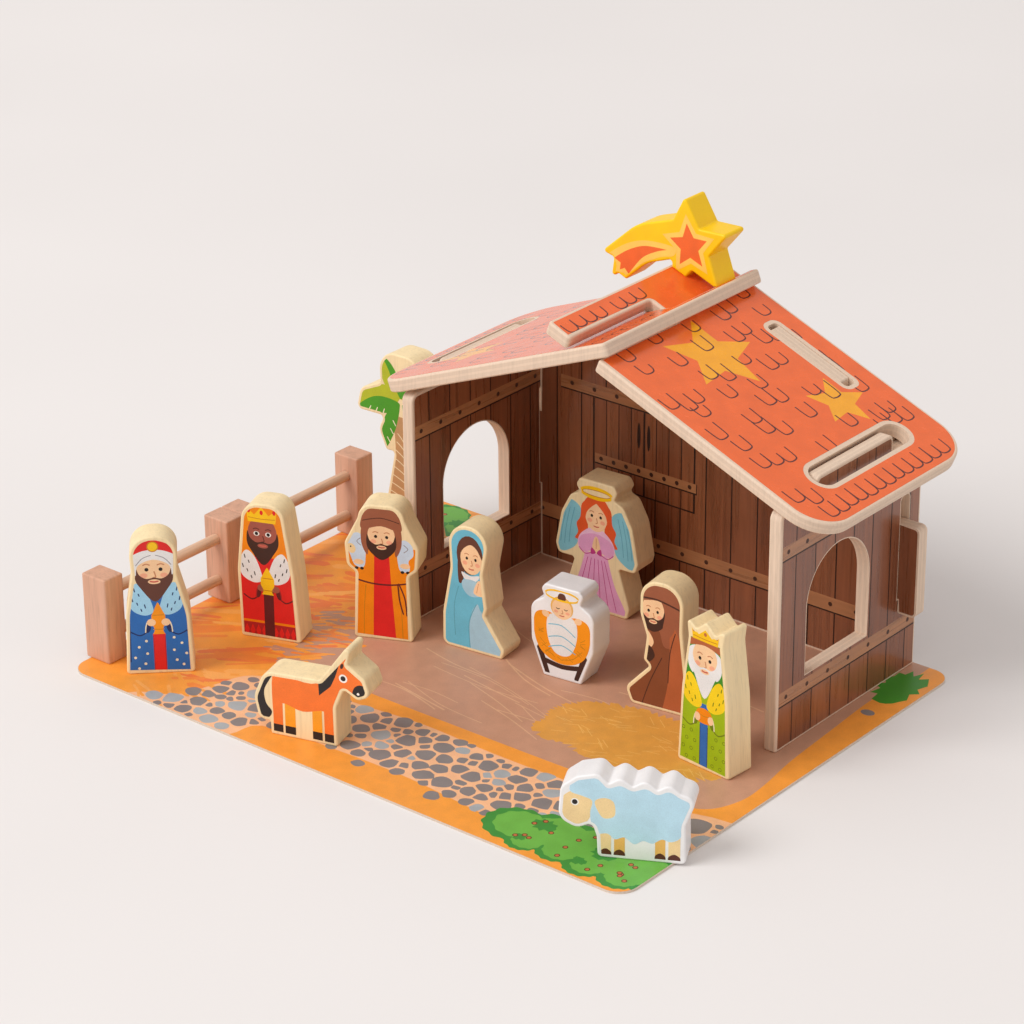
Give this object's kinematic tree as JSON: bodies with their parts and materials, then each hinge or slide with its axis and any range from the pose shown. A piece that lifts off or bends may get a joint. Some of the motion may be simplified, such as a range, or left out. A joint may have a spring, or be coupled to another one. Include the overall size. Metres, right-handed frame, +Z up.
{
  "type": "wooden nativity stable",
  "caption": "Slot-together plywood nativity stable with a pitched roof, comet star, printed play mat, rail fences, a palm and loose block figures that lift off the mat.",
  "frame": {"origin": "middle of the play mat's underside, on the table", "axes": "+X to the right along the open front, +Y towards the back wall, +Z up"},
  "size_m": [0.3094, 0.2335, 0.1933],
  "materials": {
    "printed_card": "printed card, satin",
    "printed_plywood": "birch plywood with printed faces, bare cut edges",
    "bare_beech": "sanded, bare",
    "yellow_painted_wood": "gloss paint",
    "printed_block": "sanded pine with a printed front",
    "white_painted_block": "white paint with a printed front"
  },
  "bodies": {
    "mat": {"play_mat": "printed_card"},
    "side_walls": {"left_wall": "printed_plywood", "right_wall": "printed_plywood"},
    "back_panel": {"back_wall": "printed_plywood"},
    "roof": {"left_roof": "printed_plywood", "right_roof": "printed_plywood"},
    "star": {"comet_star": "yellow_painted_wood"},
    "palm": {"palm_tree": "printed_block"},
    "front_fence": {"front_fence_front_post": "bare_beech", "front_fence_rear_post": "bare_beech", "front_fence_upper_rail": "bare_beech", "front_fence_lower_rail": "bare_beech"},
    "rear_fence": {"rear_fence_front_post": "bare_beech", "rear_fence_rear_post": "bare_beech", "rear_fence_upper_rail": "bare_beech", "rear_fence_lower_rail": "bare_beech"},
    "blue_king_figure": {"blue_king": "printed_block"},
    "red_king_figure": {"red_king": "printed_block"},
    "green_king_figure": {"green_king": "printed_block"},
    "shepherd_figure": {"shepherd": "printed_block"},
    "kneeling_mother_figure": {"kneeling_mother": "printed_block"},
    "kneeling_father_figure": {"kneeling_father": "printed_block"},
    "angel_figure": {"angel": "printed_block"},
    "manger_figure": {"manger": "white_painted_block"},
    "donkey_figure": {"donkey": "printed_block"},
    "sheep_figure": {"sheep": "white_painted_block"}
  },
  "joints": [
    {"name": "side_walls_lift", "type": "slide", "parent": "mat", "child": "side_walls", "axis": [0, 0, 1], "range_m": [0, 0.08]},
    {"name": "back_panel_unhook", "type": "slide", "parent": "side_walls", "child": "back_panel", "axis": [0, 0, 1], "range_m": [0, 0.01]},
    {"name": "roof_lift", "type": "slide", "parent": "back_panel", "child": "roof", "axis": [0, 0, 1], "range_m": [0, 0.04]},
    {"name": "star_lift", "type": "slide", "parent": "roof", "child": "star", "axis": [0, 0, 1], "range_m": [0, 0.04]},
    {"name": "palm_lift", "type": "slide", "parent": "mat", "child": "palm", "axis": [0, 0, 1], "range_m": [0, 0.05]},
    {"name": "front_fence_lift", "type": "slide", "parent": "mat", "child": "front_fence", "axis": [0, 0, 1], "range_m": [0, 0.05]},
    {"name": "rear_fence_lift", "type": "slide", "parent": "mat", "child": "rear_fence", "axis": [0, 0, 1], "range_m": [0, 0.02]},
    {"name": "blue_king_lift", "type": "slide", "parent": "mat", "child": "blue_king_figure", "axis": [0, 0, 1], "range_m": [0, 0.04]},
    {"name": "red_king_lift", "type": "slide", "parent": "mat", "child": "red_king_figure", "axis": [0, 0, 1], "range_m": [0, 0.04]},
    {"name": "green_king_lift", "type": "slide", "parent": "mat", "child": "green_king_figure", "axis": [0, 0, 1], "range_m": [0, 0.04]},
    {"name": "shepherd_lift", "type": "slide", "parent": "mat", "child": "shepherd_figure", "axis": [0, 0, 1], "range_m": [0, 0.04]},
    {"name": "kneeling_mother_lift", "type": "slide", "parent": "mat", "child": "kneeling_mother_figure", "axis": [0, 0, 1], "range_m": [0, 0.04]},
    {"name": "kneeling_father_lift", "type": "slide", "parent": "mat", "child": "kneeling_father_figure", "axis": [0, 0, 1], "range_m": [0, 0.04]},
    {"name": "angel_lift", "type": "slide", "parent": "mat", "child": "angel_figure", "axis": [0, 0, 1], "range_m": [0, 0.04]},
    {"name": "manger_lift", "type": "slide", "parent": "mat", "child": "manger_figure", "axis": [0, 0, 1], "range_m": [0, 0.04]},
    {"name": "donkey_lift", "type": "slide", "parent": "mat", "child": "donkey_figure", "axis": [0, 0, 1], "range_m": [0, 0.04]},
    {"name": "sheep_lift", "type": "slide", "parent": "mat", "child": "sheep_figure", "axis": [0, 0, 1], "range_m": [0, 0.04]}
  ]
}
